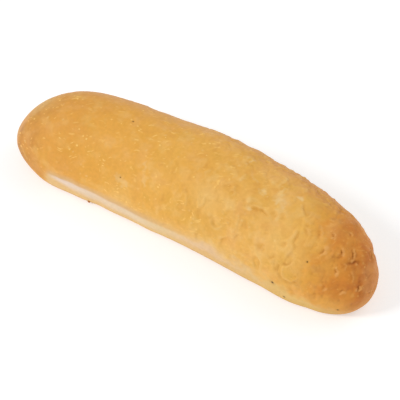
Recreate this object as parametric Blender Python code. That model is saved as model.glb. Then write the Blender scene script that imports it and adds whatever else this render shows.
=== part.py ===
# French bread roll: a long soft loaf with a flat base, a waist low on its sides and a wrinkled crust.
# Metres, +Z up. X runs along the loaf, and the origin is in the middle of its underside.

import math
import random

import bmesh
import bpy
from mathutils import Vector, noise

MM = 0.001

# Driving sizes
LENGTH = 205 * MM
WIDTH = 55 * MM
HEIGHT = 43 * MM
BELLY_HEIGHT = 13 * MM  # where the loaf is widest

# The two ends: how far each rounding runs back from its tip, and how blunt it is (2 is an ellipse)
LEFT_END = 41.8 * MM
RIGHT_END = 49.6 * MM
LEFT_BLUNTNESS = 2.49
RIGHT_BLUNTNESS = 2.26
DOME_BLUNTNESS = 2.14

# The loaf bent sideways and sagged towards its ends as it baked
BOW = 11 * MM
BOW_POWER = 1.95
WALL_BOW_SHARE = 0.8  # the near wall lies straighter than the crust above it, up to this height
WALL_BOW_HEIGHT = 30 * MM
LEFT_NARROWING = 0.107
RIGHT_NARROWING = 0.119
END_LOWERING = 0.126
RIGHT_RISE = 0.026
LEFT_LEAN = 1.0 * MM  # each tip turns a little further towards the near side
RIGHT_LEAN = 0.6 * MM
LEAN_POWER = 3

# Foot: how far the edge of the base lies inside the belly
SIDE_FOOT = 1.2 * MM
LEFT_FOOT = 9.1 * MM
RIGHT_FOOT = 5.2 * MM
EDGE_ROUND = 0.8 * MM

# Waist: the pale wall under the crust's lip, high and crisp on the left, low and soft on the right
LIP_DEPTH = 0.5 * MM
LIP_HEIGHT = 8.9 * MM  # at mid-length
LIP_SLOPE = 0.055
LIP_RANGE = (7 * MM, 11.6 * MM)
LIP_ROUND = 0.1  # as a share of its height
LIP_FADE = (0.05, 0.55)  # as shares of half the length, from the middle
LIP_TIPS = (0.72, 0.95)
LIP_RIGHT_SHARE = 0.35

# Mesh density
LEFT_STEP = 2.7 * MM
RIGHT_STEP = 1.9 * MM
LEFT_CAP_STEPS = 28
RIGHT_CAP_STEPS = 36
BASE_STEPS = 4
DOME_STEPS = 20
WALL_ROWS = [0.0, 0.08, 0.35, 0.66, 0.9, 1.0, 1.1]  # as shares of the lip's height

# Uneven near edge of the base, as (X, half length, how far it is pushed in)
EDGE_DENTS = [
    (-64 * MM, 9 * MM, 0.7 * MM),
    (-46 * MM, 6 * MM, 0.6 * MM),
    (-15 * MM, 9 * MM, -0.5 * MM),
    (52 * MM, 8 * MM, 0.5 * MM),
    (76 * MM, 4 * MM, 0.8 * MM),
]

# Broad swells of the crust in plan, as (X, Y, radius, rise)
SWELLS = [
    (-55 * MM, 12 * MM, 12 * MM, -0.5 * MM),
    (-27 * MM, 15 * MM, 13 * MM, -0.8 * MM),
    (-2 * MM, 23 * MM, 10 * MM, 0.8 * MM),
    (14 * MM, 21 * MM, 11 * MM, 0.8 * MM),
    (60 * MM, 14 * MM, 10 * MM, -0.5 * MM),
]

# Broad relief of the crust
LUMP_SIZE = 26 * MM
LUMP_DEPTH = 0.4 * MM
PUCKER_SIZE = 8 * MM
PUCKER_DEPTH = (0.1 * MM, 0.4 * MM)  # at the left and at the right
PUCKER_GROWTH = (-0.2, 0.8)  # where the one turns into the other, as shares of half the length
RELIEF_START = 2 * MM  # height above the base where relief begins
RELIEF_FULL = 12 * MM

# Wrinkles: short soft furrows, thicker on the ground towards the right end
WRINKLE_SEED = 11
WRINKLE_COUNT = 70
WRINKLE_REACH = 1.45  # how far from the right tip they come, as a share of half the length
WRINKLE_CROWDING = 1.5
WRINKLE_AREA = (0.94, 0.9)  # the part of the length and of the width that they lie on
WRINKLE_TURN = 0.7  # spread in radians about straight across
WRINKLE_LENGTH = (4 * MM, 9 * MM)
WRINKLE_WIDTH = 1.5 * MM
WRINKLE_DEPTH = (0.2 * MM, 0.5 * MM)

# The deepest furrows in plan, as (start X, start Y, end X, end Y, depth)
FURROWS = [
    (36 * MM, -14 * MM, 46 * MM, -13 * MM, 0.6 * MM),
    (18 * MM, -27 * MM, 29 * MM, -26 * MM, 0.4 * MM),
    (50 * MM, 3 * MM, 53 * MM, 7 * MM, 0.4 * MM),
    (59 * MM, -19 * MM, 60 * MM, -13 * MM, 0.4 * MM),
    (64 * MM, -13 * MM, 67 * MM, -15 * MM, 0.4 * MM),
    (69 * MM, -8 * MM, 73 * MM, -14 * MM, 0.4 * MM),
    (74 * MM, -19 * MM, 77 * MM, -15 * MM, 0.6 * MM),
    (76 * MM, -9 * MM, 80 * MM, -13 * MM, 0.5 * MM),
    (84 * MM, -12 * MM, 86 * MM, -14 * MM, 0.5 * MM),
    (89 * MM, -9 * MM, 92 * MM, -11 * MM, 0.5 * MM),
    (90 * MM, -13 * MM, 95 * MM, -9 * MM, 0.5 * MM),
    (83 * MM, -20 * MM, 86 * MM, -21 * MM, 0.5 * MM),
]

CRUST_COLOUR = (0.76, 0.43, 0.13, 1.0)
CRUST_ROUGHNESS = 0.55


def clear_scene():
    for obj in list(bpy.data.objects):
        bpy.data.objects.remove(obj, do_unlink=True)


def smooth_step(low, high, value):
    t = min(max((value - low) / (high - low), 0.0), 1.0)
    return t * t * (3 - 2 * t)


# A soft hump that is 1 at the middle and fades out past 1 on either side.
def bump(gap):
    return math.exp(-gap * gap)


# A station is one column of points round the loaf's outline seen from above:
# the X of its centre, its reach along X from there, and its share of the half width, from -1 to 1.
def side_stations():
    left_x = -LENGTH / 2 + LEFT_END
    right_x = LENGTH / 2 - RIGHT_END
    steps = round((right_x - left_x) / ((LEFT_STEP + RIGHT_STEP) / 2))
    skew = (LEFT_STEP - RIGHT_STEP) / (LEFT_STEP + RIGHT_STEP)
    xs = []
    for i in range(steps + 1):
        t = i / steps
        xs.append(left_x + (right_x - left_x) * (t + skew * t * (1 - t)))
    return xs


def cap_stations(centre_x, reach, bluntness, steps):
    stations = []
    for i in range(1, steps):
        angle = math.pi * (i / steps - 0.5)
        c, s = math.cos(angle), math.sin(angle)
        radius = (c**bluntness + abs(s) ** bluntness) ** (-1 / bluntness)
        stations.append((centre_x, reach * c * radius, s * radius))
    return stations


def outline_stations():
    xs = side_stations()
    near = [(x, 0.0, -1.0) for x in xs]
    far = [(x, 0.0, 1.0) for x in reversed(xs)]
    right = cap_stations(xs[-1], RIGHT_END, RIGHT_BLUNTNESS, RIGHT_CAP_STEPS)
    left = cap_stations(xs[0], -LEFT_END, LEFT_BLUNTNESS, LEFT_CAP_STEPS)
    return near + right + far + list(reversed(left))


# The crust's lip is crisp on the left, soft on the right and gone at the tips.
def lip_strength(x):
    along = x / (LENGTH / 2)
    right = 1 - (1 - LIP_RIGHT_SHARE) * smooth_step(*LIP_FADE, along)
    return right * (1 - smooth_step(*LIP_TIPS, abs(along)))


def lip_height(x):
    return min(max(LIP_HEIGHT - LIP_SLOPE * x, LIP_RANGE[0]), LIP_RANGE[1])


# A point of a station on the wall, at this share of the lip's height.
def wall_point(station, row):
    centre_x, reach_x, share_y = station
    z = row * lip_height(centre_x + reach_x)
    drop = 1 - z / BELLY_HEIGHT
    foot = LEFT_FOOT / LEFT_END if reach_x < 0 else RIGHT_FOOT / RIGHT_END
    x = centre_x + reach_x * (1 - foot * drop**2)
    under_lip = 1 - smooth_step(1 - LIP_ROUND, 1 + LIP_ROUND, row)
    inset = SIDE_FOOT * drop**2 + LIP_DEPTH * lip_strength(x) * under_lip
    if z == 0.0:
        inset += EDGE_ROUND
    if share_y < 0:
        inset += sum(depth * bump((x - middle) / reach) for middle, reach, depth in EDGE_DENTS) * under_lip
    return Vector((x, share_y * (WIDTH / 2 - inset), z))


# A point of a station on the dome, from the belly (share 0) to the ridge (share 1).
def dome_point(station, share):
    centre_x, reach_x, share_y = station
    angle = share * math.pi / 2
    reach = math.cos(angle) ** (2 / DOME_BLUNTNESS)
    rise = math.sin(angle) ** (2 / DOME_BLUNTNESS)
    z = BELLY_HEIGHT + (HEIGHT - BELLY_HEIGHT) * rise
    return Vector((centre_x + reach_x * reach, share_y * WIDTH / 2 * reach, z))


# The same point once the loaf is narrowed and lowered towards its ends, and bowed sideways.
def bent(point):
    along = point.x / (LENGTH / 2)
    share = 1.0
    if point.y < 0:
        share = 1 - (1 - WALL_BOW_SHARE) * (1 - smooth_step(LIP_HEIGHT, WALL_BOW_HEIGHT, point.z))
    left_tip = max(0.0, 1 - (point.x + LENGTH / 2) / LEFT_END)
    right_tip = max(0.0, 1 + (point.x - LENGTH / 2) / RIGHT_END)
    narrowing = LEFT_NARROWING if along < 0 else RIGHT_NARROWING
    y = point.y * (1 - narrowing * share * along**2)
    y += BOW * share * (1 - abs(along) ** BOW_POWER)
    y -= LEFT_LEAN * left_tip**LEAN_POWER + RIGHT_LEAN * right_tip**LEAN_POWER
    z = point.z
    if z > BELLY_HEIGHT:
        z = BELLY_HEIGHT + (z - BELLY_HEIGHT) * (1 - END_LOWERING * along**2 + RIGHT_RISE * along)
    return Vector((point.x, y, z))


# Rings of points from the middle of the base outwards, up the wall and over the dome.
def ring_points(stations):
    rings = []
    for step in range(1, BASE_STEPS):
        share = step / BASE_STEPS
        ring = []
        for station in stations:
            edge = wall_point(station, 0.0)
            ring.append(Vector((station[0] + (edge.x - station[0]) * share, edge.y * share, 0.0)))
        rings.append(ring)
    rings += [[wall_point(s, row) for s in stations] for row in WALL_ROWS]
    rings += [[dome_point(s, i / DOME_STEPS) for s in stations] for i in range(DOME_STEPS)]
    return [[bent(p) for p in ring] for ring in rings]


# Furrows and wrinkles as (start, end, depth) in plan. Most wrinkles lie to the right and run across.
def wrinkles():
    draw = random.Random(WRINKLE_SEED)
    furrows = [(Vector((x0, y0)), Vector((x1, y1)), depth) for x0, y0, x1, y1, depth in FURROWS]
    for _ in range(WRINKLE_COUNT):
        x = (1 - WRINKLE_REACH * draw.random() ** WRINKLE_CROWDING) * WRINKLE_AREA[0] * LENGTH / 2
        y = draw.uniform(-1, 1) * WRINKLE_AREA[1] * WIDTH / 2
        middle = Vector((x, y))
        angle = draw.gauss(math.pi / 2, WRINKLE_TURN)
        half = draw.uniform(*WRINKLE_LENGTH) / 2
        reach = Vector((math.cos(angle), math.sin(angle))) * half
        furrows.append((middle - reach, middle + reach, draw.uniform(*WRINKLE_DEPTH)))
    return furrows


def distance_to_segment(point, start, end):
    line = end - start
    t = min(max((point - start).dot(line) / line.length_squared, 0.0), 1.0)
    return (point - start - line * t).length


# How far the crust stands out from the plain form at a point.
def relief(point, furrows):
    low, high = PUCKER_DEPTH
    pucker = low + (high - low) * smooth_step(*PUCKER_GROWTH, point.x / (LENGTH / 2))
    rise = LUMP_DEPTH * noise.noise(point / LUMP_SIZE) + pucker * noise.noise(point / PUCKER_SIZE)
    for x, y, radius, height in SWELLS:
        rise += height * bump((point.xy - Vector((x, y))).length / radius)
    for start, end, depth in furrows:
        rise -= depth * bump(distance_to_segment(point.xy, start, end) / WRINKLE_WIDTH)
    return rise * smooth_step(RELIEF_START, RELIEF_FULL, point.z)


# Joins one ring to a middle line, where each station meets the point at its own centre.
def close_with_line(bm, ring, line_verts, stations):
    for i, station in enumerate(stations):
        j = (i + 1) % len(stations)
        first, second = line_verts[station[0]], line_verts[stations[j][0]]
        corners = [ring[i], ring[j], second]
        if first is not second:
            corners.append(first)
        bm.faces.new(corners)


def loaf_mesh():
    bm = bmesh.new()
    stations = outline_stations()
    rings = [[bm.verts.new(p) for p in ring] for ring in ring_points(stations)]
    for lower, upper in zip(rings, rings[1:]):
        for i in range(len(stations)):
            j = (i + 1) % len(stations)
            bm.faces.new((lower[i], lower[j], upper[j], upper[i]))
    ridge = {x: bm.verts.new(bent(Vector((x, 0.0, HEIGHT)))) for x in side_stations()}
    keel = {x: bm.verts.new(bent(Vector((x, 0.0, 0.0)))) for x in side_stations()}
    close_with_line(bm, rings[-1], ridge, stations)
    close_with_line(bm, rings[0], keel, stations)
    bmesh.ops.recalc_face_normals(bm, faces=bm.faces)
    centre_over_origin(bm)
    add_relief(bm)
    bmesh.ops.triangulate(bm, faces=bm.faces, quad_method="SHORT_EDGE")
    centre_over_origin(bm)
    return bm


def add_relief(bm):
    bm.normal_update()
    furrows = wrinkles()
    moves = [(v, v.normal * relief(v.co, furrows)) for v in bm.verts]
    for vert, move in moves:
        vert.co += move


def centre_over_origin(bm):
    xs = [v.co.x for v in bm.verts]
    ys = [v.co.y for v in bm.verts]
    shift = Vector((-(min(xs) + max(xs)) / 2, -(min(ys) + max(ys)) / 2, 0.0))
    bmesh.ops.translate(bm, vec=shift, verts=bm.verts)


def crust_material():
    material = bpy.data.materials.new("baked_crust")
    material.use_nodes = True
    shader = material.node_tree.nodes["Principled BSDF"]
    shader.inputs["Base Color"].default_value = CRUST_COLOUR
    shader.inputs["Roughness"].default_value = CRUST_ROUGHNESS
    shader.inputs["Metallic"].default_value = 0.0
    return material


def make_bread_roll():
    bm = loaf_mesh()
    mesh = bpy.data.meshes.new("bread_roll")
    bm.to_mesh(mesh)
    bm.free()
    mesh.materials.append(crust_material())
    mesh.shade_smooth()
    loaf = bpy.data.objects.new("bread_roll", mesh)
    bpy.context.scene.collection.objects.link(loaf)


clear_scene()
make_bread_roll()
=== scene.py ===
import math
import random

import bpy
import numpy as np
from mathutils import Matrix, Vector, noise


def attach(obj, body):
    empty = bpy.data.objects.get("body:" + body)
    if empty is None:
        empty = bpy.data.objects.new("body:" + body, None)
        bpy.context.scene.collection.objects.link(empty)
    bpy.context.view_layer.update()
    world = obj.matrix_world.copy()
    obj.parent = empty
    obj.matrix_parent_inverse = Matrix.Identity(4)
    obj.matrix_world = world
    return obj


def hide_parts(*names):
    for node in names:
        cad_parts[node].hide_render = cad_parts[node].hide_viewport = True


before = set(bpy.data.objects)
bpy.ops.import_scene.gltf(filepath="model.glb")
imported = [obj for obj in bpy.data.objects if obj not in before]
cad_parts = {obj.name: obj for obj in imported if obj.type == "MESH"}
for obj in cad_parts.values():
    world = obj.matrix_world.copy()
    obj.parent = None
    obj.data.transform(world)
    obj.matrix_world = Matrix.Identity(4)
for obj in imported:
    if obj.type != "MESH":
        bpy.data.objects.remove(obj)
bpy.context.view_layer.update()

# One long french bread roll on a white table. Lengths are in metres, and mm turns millimetres into them.
mm = 0.001
print("frame loaded")


def linearColour(hexColour):  # sRGB hex to the linear values that sockets take
    channels = [int(hexColour[i:i + 2], 16) / 255 for i in (1, 3, 5)]
    return [c / 12.92 if c <= 0.04045 else ((c + 0.055) / 1.055) ** 2.4 for c in channels] + [1.0]


def addNode(tree, kind, settings=None, inputs=None, output=0):  # sockets go by name or by place in the node
    node = tree.nodes.new(kind)
    for name, value in (settings or {}).items():
        setattr(node, name, value)
    for name, value in (inputs or {}).items():
        if isinstance(value, bpy.types.NodeSocket):
            tree.links.new(value, node.inputs[name])
        else:
            node.inputs[name].default_value = value
    return node.outputs[output]


# Sockets of a Mix node that blends two colours: share, colour below, colour above and result
mixShare, mixBelow, mixAbove, mixResult = 0, 6, 7, 2


def newMaterial(name):
    material = bpy.data.materials.new(name)
    material.use_nodes = True
    tree = material.node_tree
    return material, tree, tree.nodes["Principled BSDF"]


def selectOnly(obj):
    bpy.ops.object.select_all(action="DESELECT")
    obj.select_set(True)
    bpy.context.view_layer.objects.active = obj


def applyModifier(obj, kind, **settings):
    selectOnly(obj)
    bpy.ops.object.modifier_add(type=kind)
    modifier = obj.modifiers[-1]
    for name, value in settings.items():
        setattr(modifier, name, value)
    bpy.ops.object.modifier_apply(modifier=modifier.name)


# Camera: above and to the right of the loaf's near side, with a long lens
cameraSettings = {
    "aim": Vector((2.8, -6.9, 15.8)) * mm,
    "azimuth": math.radians(31.95),
    "elevation": math.radians(50),
    "distance": 800 * mm,
    "lens": 144.4,
    "clipStart": 50 * mm,
}


def addCamera(settings):
    azimuth, elevation = settings["azimuth"], settings["elevation"]
    back = Vector((
        math.sin(azimuth) * math.cos(elevation),
        -math.cos(azimuth) * math.cos(elevation),
        math.sin(elevation),
    ))
    bpy.ops.object.camera_add(location=settings["aim"] + back * settings["distance"])
    camera = bpy.context.object
    camera.rotation_euler = (-back).to_track_quat("-Z", "Y").to_euler()
    camera.data.lens = settings["lens"]
    camera.data.clip_start = settings["clipStart"]
    bpy.context.scene.camera = camera


addCamera(cameraSettings)
print("camera placed")


# Light: a bright white room with a broad soft lamp in front and a weaker one behind
lightSettings = {
    "roomColour": "#ffffff",
    "roomStrength": 0.52,
    "lamps": [
        {"place": (-0.6, -0.72, 0.86), "size": 0.32, "power": 6.75},
        {"place": (0.5, 0.65, 0.8), "size": 0.8, "power": 3.2},
    ],
    "lampAim": Vector((0, 0, 20)) * mm,
}


def addLights(settings):
    world = bpy.data.worlds.new("white_room")
    bpy.context.scene.world = world
    world.use_nodes = True
    background = world.node_tree.nodes["Background"]
    background.inputs["Color"].default_value = linearColour(settings["roomColour"])
    background.inputs["Strength"].default_value = settings["roomStrength"]
    for lamp in settings["lamps"]:
        place = Vector(lamp["place"])
        turn = (settings["lampAim"] - place).to_track_quat("-Z", "Y").to_euler()
        bpy.ops.object.light_add(type="AREA", location=place, rotation=turn)
        light = bpy.context.object.data
        light.size = lamp["size"]
        light.energy = lamp["power"]
    bpy.context.scene.view_settings.view_transform = "Standard"


addLights(lightSettings)

tableSettings = {
    "size": 4.0,
    "drop": 0.3 * mm,
    "colour": "#d6d6d6",
    "roughness": 0.8,
    "glowColour": "#ffffff",
    "glow": 0.44,
}


def addTable(settings):
    bpy.ops.mesh.primitive_plane_add(size=settings["size"], location=(0, 0, -settings["drop"]))
    table = bpy.context.object
    table.name = "white_table"
    # Matt laminate: even white with a faint glow, so that the shadow stays light
    material, tree, shader = newMaterial("matt_white_laminate")
    shader.inputs["Base Color"].default_value = linearColour(settings["colour"])
    shader.inputs["Roughness"].default_value = settings["roughness"]
    shader.inputs["Emission Color"].default_value = linearColour(settings["glowColour"])
    shader.inputs["Emission Strength"].default_value = settings["glow"]
    table.data.materials.append(material)


addTable(tableSettings)
print("lights and table placed")


# The loaf starts as the CAD node's own mesh, made fine and smooth enough to carry wrinkles
loafSettings = {
    "mergeGap": 0.02 * mm,
    "subdivisions": 2,
    "voxel": 0.65 * mm,
    "smoothing": 12,
    "smoothFactor": 0.5,
    "baseHeight": 0.25 * mm,  # lower than this the underside is kept flat
}


def getPoints(obj):
    flat = np.empty(len(obj.data.vertices) * 3)
    obj.data.vertices.foreach_get("co", flat)
    return flat.reshape(-1, 3)


def getNormals(obj):
    flat = np.empty(len(obj.data.vertices) * 3)
    obj.data.vertex_normals.foreach_get("vector", flat)
    return flat.reshape(-1, 3)


def setPoints(obj, points):
    obj.data.vertices.foreach_set("co", points.ravel())
    obj.data.update()


def saveField(obj, name, values):
    attribute = obj.data.attributes.new(name, "FLOAT", "POINT")
    attribute.data.foreach_set("value", values.astype(np.float32))


def fineLoaf(settings):
    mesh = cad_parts["bread_roll"].data.copy()
    mesh.materials.clear()
    loaf = bpy.data.objects.new("crusty_loaf", mesh)
    bpy.context.scene.collection.objects.link(loaf)
    selectOnly(loaf)
    bpy.ops.object.mode_set(mode="EDIT")
    bpy.ops.mesh.select_all(action="SELECT")
    bpy.ops.mesh.remove_doubles(threshold=settings["mergeGap"])
    bpy.ops.object.mode_set(mode="OBJECT")
    levels = settings["subdivisions"]
    applyModifier(loaf, "SUBSURF", levels=levels, render_levels=levels)
    applyModifier(loaf, "REMESH", mode="VOXEL", voxel_size=settings["voxel"], use_smooth_shade=True)
    applyModifier(loaf, "SMOOTH", factor=settings["smoothFactor"], iterations=settings["smoothing"])
    points = getPoints(loaf)
    points[:, 2] = np.where(points[:, 2] < settings["baseHeight"], 0.0, points[:, 2])
    setPoints(loaf, points)
    return loaf


loaf = fineLoaf(loafSettings)
print("fine loaf:", len(loaf.data.polygons), "faces")


# Relief of the crust. A place on it is X in mm and a turn in degrees: 0 near side, 90 top, 180 far side.
# A list of stops gives a level by X, height or another measure, and ease() runs smoothly from stop to stop.
reliefSettings = {
    "axisHeight": 13.0,
    "right": [(30, 0), (88, 1)],  # the right end's own relief, by X
    "crust": [(5, 0), (14, 1)],  # all relief, by height: the waist stays smooth
    "pucker": {"along": 2.6, "across": 6.5, "depth": 0.20, "share": [(-60, 0.4), (40, 1)]},
    "knobs": {"size": 6.0, "height": 0.35, "shift": 90.0},
    "folds": {
        "sheets": [
            {"along": 4.6, "across": 9.5, "depth": 0.95, "shift": 3.0},
            {"along": 2.6, "across": 5.5, "depth": 0.55, "shift": 17.0},
        ],
        "share": [(-45, 0.14), (45, 1), (60, 1), (88, 0.45)],
        "patchSize": 8.5,
        "patchShift": 40.0,
        "patch": [(-0.15, 0), (0.32, 1)],
        "bendSize": 9.0,
        "bend": 0.45,
        "stepWidth": 0.12,
        "stepReach": 0.36,
        "grooveWidth": 0.10,
        "grooveDepth": 0.22,
    },
    "cells": {
        "size": 4.6, "depth": 0.22, "width": 0.14, "bendSize": 5.0, "bend": 0.3, "bendShift": 11.0,
        "patchSize": 3.6, "patchShift": 70.0, "patch": [(-0.05, 0), (0.3, 1)],
    },
    "creases": {
        "sag": (0.5, 1.5),  # a crease's middle lies this far aside, in mm of X and degrees of turn
        "bendSize": 2.2,
        "bend": 0.7,
        "bendSpacing": 9.0,
        "taper": 0.7,
        "lip": 0.7,
        "lipPlace": 1.8,
        "lipSide": [(-0.2, 0), (0.9, 1)],
        "reach": 5,  # in crease widths
    },
    "blisters": {
        "seed": 21, "count": 170, "x": (-96, 96), "turn": (10, 170), "radius": (0.45, 0.85),
        "height": (0.08, 0.2), "reach": 3, "crust": [(9, 0), (14, 1)],
    },
    # How much each form counts as a hollow, which gets painted shade; a negative share makes it a ridge
    "hollowShare": {"foldGroove": 0.8, "foldStep": -0.7, "border": 0.7, "crease": 0.9},
    # How strongly painted shade darkens hollows and painted highlight lightens ridges, blisters and crease
    # lips, by their depth or height in mm
    "hollowTint": [(0.03, 0), (0.55, 0.64)],
    "ridgeTint": [(0.02, 0), (0.3, 0.50)],
    "blisterTint": [(0.05, 0), (0.16, 0.5)],
    "lipTint": [(0.03, 0), (0.28, 1)],
    "lipTintShare": [(58, 0.2), (80, 0.75)],  # by X
}

# Creases that show clearly: their two ends, then depth and width in mm
clearCreases = [
    ((36.0, 60), (45.0, 61), 0.62, 0.75), ((17.9, 4), (29.0, 17), 0.20, 0.75),
    ((20.8, 100), (28.0, 94), 0.25, 0.75), ((50.1, 97), (52.7, 105), 0.25, 0.75),
    ((64.1, 67), (66.9, 63), 0.30, 0.75), ((59.0, 52), (60.4, 66), 0.28, 0.75),
    ((69.1, 79), (72.7, 66), 0.32, 0.75), ((46.7, 42), (49.4, 46), 0.25, 0.75),
    ((56.8, 46), (59.9, 55), 0.28, 0.75), ((67.0, 13), (69.8, 23), 0.25, 0.75),
    ((64.8, 102), (68.5, 106), 0.28, 0.75), ((22.8, 63), (24.2, 61), 0.40, 0.75),
    ((24.5, 60), (27.0, 63), 0.20, 0.75), ((14.0, 46), (18.5, 47), 0.22, 0.75),
    ((28.0, 40), (33.0, 36), 0.22, 0.75), ((53.0, 22), (56.5, 31), 0.25, 0.75),
    ((47.0, 27), (48.5, 35), 0.25, 0.75), ((55.0, -9), (57.6, -3), 0.30, 0.75),
    ((-33.8, 30), (-32.8, 30), 0.25, 0.75), ((-41.6, 90), (-40.6, 91), 0.25, 0.75),
    ((75.7, 53), (77.4, 62), 0.55, 0.6), ((75.7, 81), (78.4, 75), 0.45, 0.5),
    ((83.4, 73), (85.8, 67), 0.55, 0.5), ((87.6, 85), (89.8, 74), 0.55, 0.5),
    ((89.2, 63), (93.3, 80), 0.60, 0.7), ((84.6, 51), (86.3, 40), 0.50, 0.5),
    ((82.3, 16), (83.6, 23), 0.35, 0.5), ((90.2, 20), (92.0, 26), 0.50, 0.55),
    ((97.3, 41), (97.5, 29), 0.50, 0.55), ((101.2, 24), (102.0, 28), 0.35, 0.5),
    ((92.8, 122), (96.0, 113), 0.40, 0.5), ((91.6, 58), (93.8, 42), 0.30, 0.5),
    ((82.1, 98), (83.8, 96), 0.45, 0.5), ((79.0, 66), (80.5, 58), 0.22, 0.6),
    ((87.0, 60), (88.6, 52), 0.25, 0.6),
]

# Knobs of the right end that show clearly: place as X and turn, then radius and height in mm
clearKnobs = [
    (77.8, 64, 1.0, 0.55), (77.8, 77, 0.7, 0.35), (86.9, 44, 0.95, 0.4), (92.9, 23, 0.9, 0.28),
    (97.2, 33, 0.9, 0.3), (90.3, 71, 0.75, 0.4), (92.3, 72, 0.6, 0.35), (85.9, 69, 0.75, 0.35),
    (96.2, 68, 0.45, 0.25), (77.4, 101, 0.4, 0.25), (75.7, 82, 0.4, 0.25), (76.7, 87, 0.4, 0.25),
    (76.0, 97, 0.4, 0.25), (75.5, 104, 0.35, 0.2),
]


def ease(value, stops):  # stops are (place, level)
    places, levels = (np.array(column, dtype=float) for column in zip(*stops))
    spot = np.interp(value, places, np.arange(len(stops)))
    start = np.minimum(spot.astype(int), len(stops) - 2)
    t = spot - start
    return levels[start] + (levels[start + 1] - levels[start]) * t * t * (3 - 2 * t)


bowSettings = {"middle": 2.0, "bend": 9.5, "halfLength": 102.5, "power": 1.95}


def axisY(x):  # middle of the loaf across its width, in mm
    along = np.abs(x / bowSettings["halfLength"])
    return bowSettings["middle"] - bowSettings["bend"] * along ** bowSettings["power"]


def surfacePoint(obj, x, turn):  # casts outwards from the loaf's axis; the answer is in mm
    angle = math.radians(turn)
    start = Vector((x, axisY(x), reliefSettings["axisHeight"])) * mm
    way = Vector((0, -math.cos(angle), math.sin(angle)))
    found, place, normal, face = obj.ray_cast(start, way)
    return np.array(place) / mm


def noiseField(points, shift=0.0):  # shift moves to another part of the noise
    offset = Vector((shift, shift * 0.7, -shift))
    return np.array([noise.noise(Vector(p) + offset) for p in points])


def wander(points, size, reach, shift, spacing=1.0):  # a smooth random step aside for each point
    return reach * np.stack([noiseField(points / size, shift + spacing * k) for k in range(3)], 1)


def bump(distance, width):  # 1 in the middle, fading out on either side
    return np.exp(-(distance / width) ** 2)


def cellField(points):  # 0 along the borders between cells, rising inside them
    field = np.empty(len(points))
    for i, p in enumerate(points):
        distances, places = noise.voronoi(Vector(p))
        field[i] = distances[1] - distances[0]
    return field


def foldField(points, sheet, settings):  # short wrinkles: a step up to one side and a groove at its foot
    size = (sheet["along"], sheet["across"], sheet["across"])
    shift = sheet["shift"]
    line = noiseField(points / size + wander(points, settings["bendSize"], settings["bend"], shift), shift)
    patchy = noiseField(points / settings["patchSize"], shift + settings["patchShift"])
    strength = ease(patchy, settings["patch"])
    strength *= ease(points[:, 0], settings["share"]) * sheet["depth"]
    step = 0.5 * np.tanh(line / settings["stepWidth"]) * bump(line, settings["stepReach"])
    groove = settings["grooveDepth"] * bump(line, settings["grooveWidth"])
    return step * strength, groove * strength


def segmentGap(points, a, b):  # distance to a straight piece, the way to it and the share along it
    way = b - a
    t = np.clip(((points - a) @ way) / (way @ way), 0, 1)
    off = points - a - t[:, None] * way
    return np.linalg.norm(off, axis=1), off, t


def creaseField(obj, points, lines, settings):  # depth below the skin and the lip beside it, in mm
    groove = np.zeros(len(points))
    lip = np.zeros(len(points))
    for number, (first, last, depth, width) in enumerate(lines):
        middle = [(a + b) / 2 + c for a, b, c in zip(first, last, settings["sag"])]
        path = [surfacePoint(obj, x, turn) for x, turn in (first, middle, last)]
        reach = width * settings["reach"]
        inside = (points > np.min(path, 0) - reach) & (points < np.max(path, 0) + reach)
        near = np.nonzero(inside.all(1))[0]
        bent = points[near] + wander(
            points[near], settings["bendSize"], settings["bend"], number, settings["bendSpacing"],
        )
        gap = np.full(len(near), np.inf)
        side = np.zeros(len(near))
        taper = np.zeros(len(near))
        for half, (a, b) in enumerate(zip(path, path[1:])):
            distance, off, t = segmentGap(bent, a, b)
            closer = distance < gap
            gap = np.where(closer, distance, gap)
            side = np.where(closer, (off[:, 0] + off[:, 1]) / width, side)
            taper = np.where(closer, 1 - settings["taper"] * abs(half + t - 1) ** 3, taper)
        groove[near] = np.maximum(groove[near], depth * taper * bump(gap, width))
        raised = bump(gap - width * settings["lipPlace"], width) * ease(side, settings["lipSide"])
        lip[near] = np.maximum(lip[near], depth * taper * settings["lip"] * raised)
    return groove, lip


def blisterField(obj, points, settings):
    draw = random.Random(settings["seed"])
    field = np.zeros(len(points))
    for _ in range(settings["count"]):
        place = surfacePoint(obj, draw.uniform(*settings["x"]), draw.uniform(*settings["turn"]))
        radius = draw.uniform(*settings["radius"])
        height = draw.uniform(*settings["height"])
        gap = np.linalg.norm(points - place, axis=1)
        near = gap < radius * settings["reach"]
        field[near] = np.maximum(field[near], height * bump(gap[near], radius))
    return field


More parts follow.
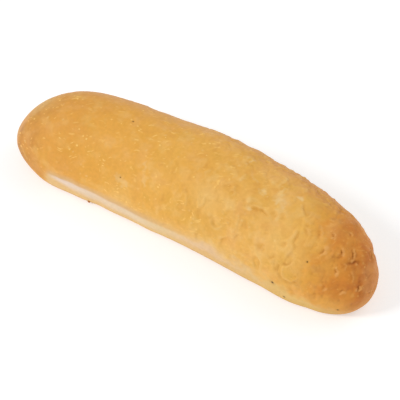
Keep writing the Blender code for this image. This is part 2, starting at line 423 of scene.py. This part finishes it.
def addRelief(obj, settings):
    points = getPoints(obj) / mm
    normals = getNormals(obj)
    x, z = points[:, 0], points[:, 2]
    right = ease(x, settings["right"])
    crust = ease(z, settings["crust"])
    pucker, knobs, cells = settings["pucker"], settings["knobs"], settings["cells"]
    size = (pucker["along"], pucker["across"], pucker["across"])
    rise = noiseField(points / size) * pucker["depth"] * ease(x, pucker["share"])
    rise += noiseField(points / knobs["size"], knobs["shift"]) * knobs["height"] * right
    hollowShade = np.zeros(len(points))
    share = settings["hollowShare"]
    for sheet in settings["folds"]["sheets"]:
        step, groove = foldField(points, sheet, settings["folds"])
        rise += step - groove
        hollowShade += share["foldGroove"] * groove + share["foldStep"] * step
    bent = points / cells["size"] + wander(points, cells["bendSize"], cells["bend"], cells["bendShift"])
    patchy = ease(noiseField(points / cells["patchSize"], cells["patchShift"]), cells["patch"])
    border = bump(cellField(bent), cells["width"]) * right * cells["depth"] * patchy
    groove, lip = creaseField(obj, points, clearCreases, settings["creases"])
    for knobX, turn, radius, height in clearKnobs:
        gap = np.linalg.norm(points - surfacePoint(obj, knobX, turn), axis=1)
        lip = np.maximum(lip, height * bump(gap, radius))
    blister = blisterField(obj, points, settings["blisters"])
    rise = (rise - border - groove + lip) * crust + blister * ease(z, settings["blisters"]["crust"])
    hollowShade = (hollowShade + share["border"] * border + share["crease"] * groove) * crust
    # Painted shade: hollows of folds, cell borders and creases darken the crust's colour by this share
    saveField(obj, "hollowShade", ease(hollowShade, settings["hollowTint"]))
    # Painted highlight: raised fold steps, blisters and crease lips lighten the crust's colour by this
    # share
    plain = (1 - ease(-hollowShade, settings["ridgeTint"])) * (1 - ease(blister, settings["blisterTint"]))
    plain *= 1 - ease(lip * crust, settings["lipTint"]) * ease(x, settings["lipTintShare"])
    saveField(obj, "ridgeHighlight", 1 - plain)
    setPoints(obj, (points + normals * rise[:, None]) * mm)


addRelief(loaf, reliefSettings)
print("relief added")


# Baked crust: golden and thin on top, browner at both ends, cream where it hardly baked at the waist
crustSettings = {
    # Colours along the loaf, by X in mm
    "ramps": {
        "bake": [
            (-101, "#bb8044"), (-91, "#cd8f43"), (-76, "#dd9d48"), (-45, "#e5a749"), (-5, "#e8ae51"),
            (30, "#e8b058"), (60, "#e8b15a"), (75, "#e4a144"), (86, "#d98b35"), (95, "#cd7930"),
            (102, "#d58c4a"),
        ],
        # Painted shade on skin turned back or left: a pinker tan, browner to the right
        "farSideShade": [(-60, "#e0a76e"), (-5, "#e0a768"), (20, "#db9c58"), (62, "#d78f4a")],
        # Painted shade for hollows: darker gold in the middle, brown at the right end
        "hollowShade": [(50, "#cf953a"), (76, "#a8621c"), (92, "#9a4f12")],
        # Painted highlight for ridges, blisters and crease lips
        "ridgeHighlight": [(54, "#edc47b"), (80, "#e6a75c")],
        "waist": [
            (-76, "#e5be7c"), (-68, "#e8d1bf"), (-56, "#e7d0b8"), (-44, "#e7ccab"), (-24, "#e7ceab"),
            (-7, "#e6c896"), (8, "#e6c294"), (20, "#e6c195"), (30, "#e4bf8c"), (60, "#e3ba70"),
            (75, "#e6be72"), (84, "#e2b166"), (100, "#e0a65e"),
        ],
        "lowWaist": [(-30, "#e6be80"), (-5, "#e5bd79"), (15, "#e3b875"), (60, "#dfb465")],
        "rim": [
            (-76, "#cf9048"), (-50, "#cf9450"), (-10, "#d9a962"), (15, "#c89a4c"), (60, "#c89a4c"),
            (90, "#cf9650"),
        ],
    },
    "colours": {
        "peach": "#ecb674", "paleGold": "#edc47b", "olive": "#dba543", "ochre": "#de9c38",
        # The pale tip colour is painted light
        "brightGold": "#efba55", "tan": "#db9c48", "tipHighlight": "#efc08a", "bakedDark": "#b9702a",
        # The waist line colour is painted shade under the crust's edge
        "bakedLight": "#e49e46", "paleStreak": "#f0d298", "flour": "#fbc96e", "waistLipShade": "#dab07a",
        "skirt": "#e4a851", "underBrown": "#c88d48", "scorch": "#a5772f", "char": "#472508",
    },
    # Noises: size in mm, detail and roughness
    "noises": {
        "blotch": (6.5, 2.0, 0.5),
        "hue": (9, 2.0, 0.5),
        "grain": (1.6, 2.0, 0.5),
        "cloud": (12, 3.0, 0.55),
        "dimple": (0.9, 4.0, 0.6),
    },
    # Coats of colour in the order in which they lie: share on the mesh, colour or ramp and the most of it,
    # then the noise that breaks the coat up and the two values between which it comes in
    "coats": [
        ("mottle", "peach", 0.45, "hue", 0.50, 0.72),
        ("mottle", "olive", 0.55, "hue", 0.50, 0.30),
        ("mottle", "paleGold", 0.45, "blotch", 0.50, 0.72),
        ("mottle", "tan", 0.50, "blotch", 0.48, 0.28),
        # Painted shade on the far side
        ("farSideShade", "farSideShade", 1.0),
        # Painted light: a pale pinkish tint on the tips where the skin turns back or left
        ("tip", "tipHighlight", 0.6),
        ("rightBake", "bakedDark", 0.42, "blotch", 0.50, 0.75),
        ("rightBake", "bakedLight", 0.40, "blotch", 0.48, 0.25),
        ("paleGoldPatch", "paleGold", 1.0),
        ("olivePatch", "olive", 1.0),
        ("ochrePatch", "ochre", 1.0),
        ("brightGoldPatch", "brightGold", 1.0),
        ("bakedDarkPatch", "bakedDark", 1.0),
        ("streak", "paleStreak", 1.0),
        # Painted shade in hollows
        ("hollowShade", "hollowShade", 1.0),
        # Painted highlight on ridges, blisters and crease lips
        ("ridgeHighlight", "ridgeHighlight", 1.0),
        ("flour", "flour", 0.85),
        ("halo", "paleGold", 0.4),
        # Painted shade: a grey-tan line under the crust's edge, just over the waist
        ("line", "waistLipShade", 0.9),
        ("skirt", "skirt", 0.75),
        ("waist", "waist", 1.0),
        ("lowWaist", "lowWaist", 1.0),
        ("rim", "rim", 1.0),
        ("underside", "underBrown", 1.0),
        ("scorch", "scorch", 0.35),
        ("char", "char", 0.9),
    ],
    # Height of the waist's upper edge in mm, by X
    "waistEdge": [
        (-76, 11.6), (-62, 12.6), (-43, 11.7), (-25, 11.0), (-12, 10.6), (0, 11.0), (14, 13.6), (28, 13.6),
        (42, 11.4), (54, 13.2), (64, 12.0), (75, 10.8), (88, 9.6), (98, 8.0),
    ],
    # How uneven that edge is: size of the waves, shift of the noise and reach, in mm
    "raggedWaves": [(8.0, 31.0, 4.5), (3.0, 33.0, 2.5)],
    "plainWaves": (7.0, 35.0, 0.8),
    "edgeBlur": [(0, 1.3), (1, 3.0)],  # in mm, by raggedness
    # Waves and patches of the browned rim, then clusters of flour, with the levels that their noise takes
    "rimWaves": (1.6, 41.0, 0.35),
    "rimWaveLevels": [(-0.4, -1), (0.4, 1)],
    "rimPatches": (6.0, 45.0, 0.4),
    "flourClusters": (14.0, 47.0),
    "flourLevels": [(-0.3, 0.45), (0.3, 1.15)],
    "farStart": [(-4, 0), (4, 1)],  # the far side, by mm past the loaf's axis
    "farDrop": 1.5,  # the edge lies this much lower on the far side, in mm
    # Shares by X
    "nearWaist": [(-79, 0), (-72, 1), (86, 1), (104, 0)],
    "farWaist": [(-97, 0), (-60, 0.7), (50, 0.7), (95, 0)],
    "raggedEdge": [(-15, 0), (35, 1)],
    "mottle": [(-45, 0.55), (30, 0.8), (66, 0.85), (88, 0)],
    # The far side's painted shade, by X
    "farTint": [(60, 0.85), (95, 0.3)],
    # The tips' painted light, by X
    "tip": [(-98, 1), (-80, 0), (84, 0), (94, 0.3)],
    "rightBake": [(40, 0), (90, 1)],
    "halo": [(-62, 0), (-30, 1), (15, 1), (40, 0.4), (50, 0.4), (65, 0)],
    # The painted shade line along the waist's edge, by X
    "line": [(-77, 0), (-72, 1), (-25, 1), (20, 0)],
    "skirt": [(35, 0), (88, 1), (90, 1), (99, 0.6)],
    "lowWaist": [(-25, 1), (10, 0.8)],
    "creamDepth": [(-75, 2.2), (-58, 4.6)],  # in mm
    "rim": [
        (-66, 0.95), (-56, 0.6), (-53, 0.6), (-51, 0.9), (-49, 0.6), (-6, 0.6), (2, 0.85), (38, 0.85),
        (48, 0.6),
    ],
    "flour": [(0, 1), (60, 0.3)],
    "slantShare": [(55, 0), (82, 1), (96, 1), (101, 0)],
    # Shares by height over the base in mm
    "rimHeight": [(0.9, 1), (2.3, 0)],
    "skirtHeight": [(4, 1), (19, 0)],
    "flourHeight": [(10, 0), (15, 1)],
    "farHeight": [(12, 0), (28, 1)],
    # Shares by height over the waist's edge in mm, and for the waist itself in units of the edge's blur
    "haloRise": [(0, 1), (9, 0)],
    "lineRise": [(0.4, 1), (4.5, 0)],
    "waistRise": [(-1.4, 1), (0.6, 0)],
    "waistSink": [(0.8, 0), (1.9, 1)],  # below the edge, in units of the cream's depth
    # Shares by the way that the skin faces: 1 is straight back, straight left or straight down. Facing back
    # or left sets the far side's painted shade and the tips' painted light
    "facesBack": [(0.1, 0), (0.85, 1)],
    "facesLeft": [(0.5, 0), (0.95, 0.8)],
    "facesDown": [(0.3, 0), (0.9, 0.8)],
    # The right end's browning starts further left or right round the loaf: shift in mm, by turn
    "bakeSlant": [(-10, -7), (15, -4), (40, 1), (58, 0), (72, 2), (85, 2), (105, 4), (120, 0), (140, 0)],
    # Broad soft patches of each colour: place as X and turn, then radius in mm and strength
    "patches": {
        "paleGold": [
            # The patch at X -93 and turn 98 is painted light on the top of the left tip
            (13.4, 48, 7, 0.45), (62, 55, 9, 0.2), (55, 42, 7, 0.3), (30, 0, 5, 0.35), (-93, 98, 8, 0.5),
            (-32, 12, 7, 0.25),
        ],
        "olive": [(7, 18, 6, 0.6), (19, 19, 7, 0.6), (0, 27, 5, 0.4), (66, 16, 7, 0.5)],
        "brightGold": [(61, 54, 7, 0.4), (64, 68, 6, 0.45), (70, 60, 5, 0.35), (60, 78, 5, 0.25)],
        "ochre": [
            (-66, 45, 10, 0.4), (-72, 70, 6, 0.25), (-48, 30, 7, 0.2), (-27, 66, 7, 0.3), (1, 74, 7, 0.3),
            (11, 109, 6, 0.3),
        ],
        "bakedDark": [
            (92, 68, 5.5, 0.4), (81, 98, 7, 0.24), (90, 22, 5, 0.2), (65, 104, 6, 0.12), (79, 55, 5, 0.08),
            (-90, 27, 7, 0.12),
        ],
    },
    # Dark specks of char: place as X and turn, then radius in mm
    "specks": [
        (57.9, -3, 0.68), (64.5, -18, 0.45), (72.4, 41, 0.36), (91.3, -16, 0.45), (-41.0, 90, 0.35),
        (-33.4, 30, 0.24),
    ],
    # Pale streaks: both ends, half width in mm and strength
    "streaks": [
        ((-36.4, 30), (-29.0, 24), 1.9, 0.36), ((-23.0, 55), (-19.6, 33), 1.5, 0.30),
        ((54.2, 94), (55.0, 91), 1.9, 0.60), ((45.6, 88), (46.5, 74), 2.0, 0.50),
        ((37.2, 79), (39.6, 79), 1.4, 0.45), ((34.2, 57), (35.6, 60), 1.4, 0.50),
        ((21.5, 98), (38.4, 74), 0.7, 0.30), ((20.7, 97), (24.3, 107), 0.6, 0.45),
        ((48.5, 81), (50.5, 72), 1.3, 0.35), ((14.5, 6), (17.5, -2), 2.2, 0.25),
        ((21.0, 7), (24.0, -1), 2.0, 0.25),
    ],
    "streakTaper": 0.55,
    "streakFade": [(0.1, 1), (1.5, 0)],  # across a streak, in half widths
    # Bent and frayed outlines of streaks and patches: sizes in mm
    "outlines": {
        "bendSize": 3.2, "bend": 1.6, "bendShift": 60.0, "fraySize": 1.6, "fray": 0.8, "frayShift": 51.0,
    },
    # Flour: round dots, and thin pale threads that lie about one way with bends. Cells are in mm,
    # widths are shares of a cell, and a cell has a mark when its random number passes the chance.
    "dots": {"cell": 3.0, "wide": 0.24, "narrow": 0.12, "chance": 0.80},
    "threads": {"cell": 1.6, "wide": 0.38, "narrow": 0.16, "chance": 0.57, "share": 0.75},
    "threadWay": {"length": 5, "turn": 30, "bendSize": 10, "bend": 11},
    "markEdge": 0.02,  # over this much of the random number a mark comes in
    "sway": 7,  # the browning's edges wander this far to either side, in mm
    "swayNoise": (0.3, 0.7),
    # In speck radii: where the scorched halo and the char begin and are full, and an offset that is far off
    "scorchReach": (3.4, 0.9),
    "charReach": (1.2, 0.7),
    "noSpeck": 50.0,
    "grainNoise": (0.25, 0.75),
    "grainShade": (0.965, 1.035),
    "bumpHeight": 0.12,  # of flour specks, in mm
    "dimpleShare": 0.4,
    "roughness": 0.6,
    "sheen": 0.2,
}


def addZones(obj, settings):  # saves the share of every coat on the mesh
    points = getPoints(obj) / mm
    normals = getNormals(obj)
    x, y, z = points.T
    turn = np.degrees(np.arctan2(z - reliefSettings["axisHeight"], axisY(x) - y))
    far = ease(y - axisY(x), settings["farStart"])

    # The waist: lift is the height over its upper edge, which is ragged at the right and on the far side
    ragged = np.maximum(ease(x, settings["raggedEdge"]), far)
    edge = ease(x, settings["waistEdge"])
    for size, shift, reach in settings["raggedWaves"]:
        edge += ragged * reach * noiseField(points / size, shift)
    size, shift, reach = settings["plainWaves"]
    edge += (1 - ease(x, settings["raggedEdge"])) * reach * noiseField(points / size, shift)
    lift = z - edge + far * settings["farDrop"]
    waist = ease(lift / np.interp(ragged, *zip(*settings["edgeBlur"])), settings["waistRise"])
    waist *= ease(x, settings["nearWaist"]) * (1 - far) + ease(x, settings["farWaist"]) * far
    sunk = ease(-lift / ease(x, settings["creamDepth"]), settings["waistSink"])
    size, shift, reach = settings["rimWaves"]
    rimHeight = z + reach * ease(noiseField(points / size, shift), settings["rimWaveLevels"])
    size, shift, reach = settings["rimPatches"]
    rim = np.clip(ease(x, settings["rim"]) + reach * noiseField(points / size, shift), 0, 1)
    # Skin turned back or left, away from the camera, gets painted shade on the far side and painted light
    # at the tips
    back, left = ease(normals[:, 1], settings["facesBack"]), ease(-normals[:, 0], settings["facesLeft"])
    edgeOn = np.maximum(back, left)
    size, shift = settings["flourClusters"]
    clusters = ease(noiseField(points / size, shift), settings["flourLevels"])
    shares = {
        "waist": waist,
        "lowWaist": waist * sunk * ease(x, settings["lowWaist"]),
        "rim": rim * ease(rimHeight, settings["rimHeight"]),
        "halo": ease(lift, settings["haloRise"]) * ease(x, settings["halo"]),
        # A painted shade line just over the waist's edge
        "line": ease(lift, settings["lineRise"]) * ease(x, settings["line"]) * (1 - far),
        "skirt": ease(x, settings["skirt"]) * ease(z, settings["skirtHeight"]),
        "mottle": ease(x, settings["mottle"]),
        "rightBake": ease(x, settings["rightBake"]),
        "underside": ease(-normals[:, 2], settings["facesDown"]),
        "farSideShade": edgeOn * ease(z, settings["farHeight"]) * ease(x, settings["farTint"]),
        "tip": edgeOn * ease(x, settings["tip"]),
        "flourShare": clusters * ease(x, settings["flour"]) * ease(z, settings["flourHeight"]),
        "bakeShift": np.interp(turn, *zip(*settings["bakeSlant"])) * ease(x, settings["slantShare"]) * mm,
    }

    # Streaks and patches have bent outlines
    outlines = settings["outlines"]
    bent = points + wander(points, outlines["bendSize"], outlines["bend"], outlines["bendShift"])
    frayed = 1 + outlines["fray"] * noiseField(points / outlines["fraySize"], outlines["frayShift"])
    streak = np.zeros(len(points))
    for first, last, width, strength in settings["streaks"]:
        gap, off, t = segmentGap(bent, surfacePoint(obj, *first), surfacePoint(obj, *last))
        gap *= frayed / (width * (1 - settings["streakTaper"] * (2 * t - 1) ** 2))
        streak = np.maximum(streak, strength * ease(gap, settings["streakFade"]))
    shares["streak"] = streak
    for name, patches in settings["patches"].items():
        share = np.zeros(len(points))
        for patchX, patchTurn, radius, strength in patches:
            gap = np.linalg.norm(bent - surfacePoint(obj, patchX, patchTurn), axis=1)
            share = np.maximum(share, strength * bump(gap, radius))
        shares[name + "Patch"] = share
    for name, values in shares.items():
        saveField(obj, name, values)

    # The way to the nearest speck in speck radii, which stays sharp between the mesh points
    offsets = np.full((len(points), 3), settings["noSpeck"])
    for speckX, speckTurn, radius in settings["specks"]:
        off = (points - surfacePoint(obj, speckX, speckTurn)) / radius
        closer = np.linalg.norm(off, axis=1) < np.linalg.norm(offsets, axis=1)
        offsets[closer] = off[closer]
    attribute = obj.data.attributes.new("speckOffset", "FLOAT_VECTOR", "POINT")
    attribute.data.foreach_set("vector", offsets.astype(np.float32).ravel())
    return list(shares)


def makeCrust(settings, shareNames):
    # Baked crust: dry and matt with a faint sheen, so its colour and its small wrinkles carry the look
    material, tree, shader = newMaterial("baked_crust")
    attribute, maths, mapRange = "ShaderNodeAttribute", "ShaderNodeMath", "ShaderNodeMapRange"
    noiseKind, voronoi, vectorMaths = "ShaderNodeTexNoise", "ShaderNodeTexVoronoi", "ShaderNodeVectorMath"
    smooth = {"interpolation_type": "SMOOTHSTEP"}
    times, plus = {"operation": "MULTIPLY"}, {"operation": "ADD"}
    place = addNode(tree, "ShaderNodeTexCoord", output="Object")
    alongLoaf = addNode(tree, "ShaderNodeSeparateXYZ", None, {"Vector": place}, "X")
    masks = {name: addNode(tree, attribute, {"attribute_name": name}, None, "Fac") for name in shareNames}
    noises = {}
    for name, (size, detail, roughness) in settings["noises"].items():
        noises[name] = addNode(tree, noiseKind, None, {
            "Vector": place, "Scale": 1 / (size * mm), "Detail": detail, "Roughness": roughness,
        }, "Fac")

    # The browning follows X, swayed by cloudy noise and shifted round the right end.
    # A Map Range node takes the value, the range that it comes from and the range that it goes to.
    reach = settings["sway"] * mm
    low, high = settings["swayNoise"]
    sway = addNode(tree, mapRange, smooth, {0: noises["cloud"], 1: low, 2: high, 3: -reach, 4: reach})
    swayed = addNode(tree, maths, plus, {0: alongLoaf, 1: sway})
    bakePlace = addNode(tree, maths, plus, {0: swayed, 1: masks["bakeShift"]})
    colours = {name: linearColour(colour) for name, colour in settings["colours"].items()}
    ramps = {}
    for name, stops in settings["ramps"].items():
        first, last = stops[0][0], stops[-1][0]
        source = bakePlace if name == "bake" else alongLoaf
        share = addNode(tree, mapRange, None, {0: source, 1: first * mm, 2: last * mm})
        ramps[name] = addNode(tree, "ShaderNodeValToRGB", None, {"Fac": share}, "Color")
        elements = ramps[name].node.color_ramp.elements
        while len(elements) < len(stops):
            elements.new(1.0)
        for element, (stopX, colour) in zip(elements, stops):
            element.position = (stopX - first) / (last - first)
            element.color = linearColour(colour)

    # Flour dots and threads: the threads' cells are drawn out and turned, in a space that noise has bent
    way = settings["threadWay"]
    bendScale = 1 / (way["bendSize"] * mm)
    bendNoise = addNode(tree, noiseKind, None, {"Vector": place, "Scale": bendScale}, "Color")
    bent = addNode(tree, vectorMaths, {"operation": "MULTIPLY_ADD"}, {
        0: bendNoise, 1: [way["bend"] * mm] * 3, 2: place,
    })
    turned = addNode(tree, "ShaderNodeMapping", {"vector_type": "TEXTURE"}, {
        "Vector": bent, "Rotation": (0, 0, math.radians(way["turn"])), "Scale": (way["length"], 1, 1),
    })
    marks = []
    for space, mark in ((place, settings["dots"]), (turned, settings["threads"])):
        gap = addNode(tree, voronoi, None, {"Vector": space, "Scale": 1 / (mark["cell"] * mm)}, "Distance")
        draw = addNode(tree, "ShaderNodeSeparateColor", None, {"Color": gap.node.outputs["Color"]}, "Red")
        sure = mark["chance"] + settings["markEdge"]
        drawn = addNode(tree, mapRange, smooth, {0: draw, 1: mark["chance"], 2: sure})
        shape = addNode(tree, mapRange, smooth, {0: gap, 1: mark["wide"], 2: mark["narrow"]})
        marks.append(addNode(tree, maths, times, {0: shape, 1: drawn}))
    faint = addNode(tree, maths, times, {0: marks[1], 1: settings["threads"]["share"]})
    flour = addNode(tree, maths, {"operation": "MAXIMUM"}, {0: marks[0], 1: faint})
    masks["flour"] = addNode(tree, maths, times, {0: flour, 1: masks["flourShare"]})

    # Specks of char with a scorched halo
    speckOffset = addNode(tree, attribute, {"attribute_name": "speckOffset"}, None, "Vector")
    speckGap = addNode(tree, vectorMaths, {"operation": "LENGTH"}, {0: speckOffset}, "Value")
    for name in ("scorch", "char"):
        outer, inner = settings[name + "Reach"]
        masks[name] = addNode(tree, mapRange, smooth, {0: speckGap, 1: outer, 2: inner})

    skin = ramps["bake"]
    for share, colour, most, *broken in settings["coats"]:
        amount = addNode(tree, maths, times, {0: masks[share], 1: most})
        if broken:
            pattern, start, end = broken
            pattern = addNode(tree, mapRange, smooth, {0: noises[pattern], 1: start, 2: end})
            amount = addNode(tree, maths, times, {0: amount, 1: pattern})
        coat = ramps[colour] if colour in ramps else colours[colour]
        skin = addNode(tree, "ShaderNodeMix", {"data_type": "RGBA"}, {
            mixShare: amount, mixBelow: skin, mixAbove: coat,
        }, mixResult)
    low, high = settings["grainNoise"]
    dark, light = settings["grainShade"]
    shade = addNode(tree, mapRange, smooth, {0: noises["grain"], 1: low, 2: high, 3: dark, 4: light})
    skin = addNode(tree, "ShaderNodeHueSaturation", None, {"Color": skin, "Value": shade})
    tree.links.new(skin, shader.inputs["Base Color"])

    dimples = addNode(tree, maths, times, {0: noises["dimple"], 1: settings["dimpleShare"]})
    height = addNode(tree, maths, plus, {0: dimples, 1: masks["flour"]})
    bumpHeight = settings["bumpHeight"] * mm
    skinBump = addNode(tree, "ShaderNodeBump", None, {"Height": height, "Distance": bumpHeight})
    tree.links.new(skinBump, shader.inputs["Normal"])
    shader.inputs["Roughness"].default_value = settings["roughness"]
    shader.inputs["Specular IOR Level"].default_value = settings["sheen"]
    return material


shareNames = addZones(loaf, crustSettings) + ["hollowShade", "ridgeHighlight"]
loaf.data.materials.append(makeCrust(crustSettings, shareNames))
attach(loaf, "root")
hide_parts("bread_roll")
print("crust finished")


# One crumb stuck to the near edge of the base
crumbSettings = {
    "x": -51.0,
    "height": 1.6,
    "radius": 0.75,
    "subdivisions": 4,
    "lumps": [(0.9, 3.0, 1.0), (0.35, 7.0, 0.5)],  # size in mm, shift of the noise and share
    "lumpHeight": 0.25,
    "pitSize": 0.5,
    "colour": "#c98440",
    "dark": "#9c5c28",
    "roughness": 0.8,
}


def addCrumb(obj, settings):
    start = Vector((settings["x"], axisY(settings["x"]), settings["height"])) * mm
    found, place, normal, face = obj.ray_cast(start, Vector((0, -1, 0)))
    bpy.ops.mesh.primitive_ico_sphere_add(
        subdivisions=settings["subdivisions"], radius=settings["radius"] * mm, location=place,
    )
    crumb = bpy.context.object
    crumb.name = "edge_crumb"
    selectOnly(crumb)
    bpy.ops.object.transform_apply(location=True, rotation=True, scale=True)
    points = getPoints(crumb)
    lumps = sum(share * noiseField(points / (size * mm), shift) for size, shift, share in settings["lumps"])
    setPoints(crumb, points + getNormals(crumb) * (lumps * settings["lumpHeight"] * mm)[:, None])
    bpy.ops.object.shade_smooth()
    # Toasted crumb: dry and matt, browner than the crust and darker in its pits
    material, tree, shader = newMaterial("toasted_crumb")
    place = addNode(tree, "ShaderNodeTexCoord", output="Object")
    pitScale = 1 / (settings["pitSize"] * mm)
    pits = addNode(tree, "ShaderNodeTexNoise", None, {"Vector": place, "Scale": pitScale}, "Fac")
    dark, light = linearColour(settings["dark"]), linearColour(settings["colour"])
    tone = addNode(tree, "ShaderNodeMix", {"data_type": "RGBA"}, {
        mixShare: pits, mixBelow: dark, mixAbove: light,
    }, mixResult)
    tree.links.new(tone, shader.inputs["Base Color"])
    shader.inputs["Roughness"].default_value = settings["roughness"]
    crumb.data.materials.append(material)
    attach(crumb, "root")


addCrumb(loaf, crumbSettings)
print("crumb added")
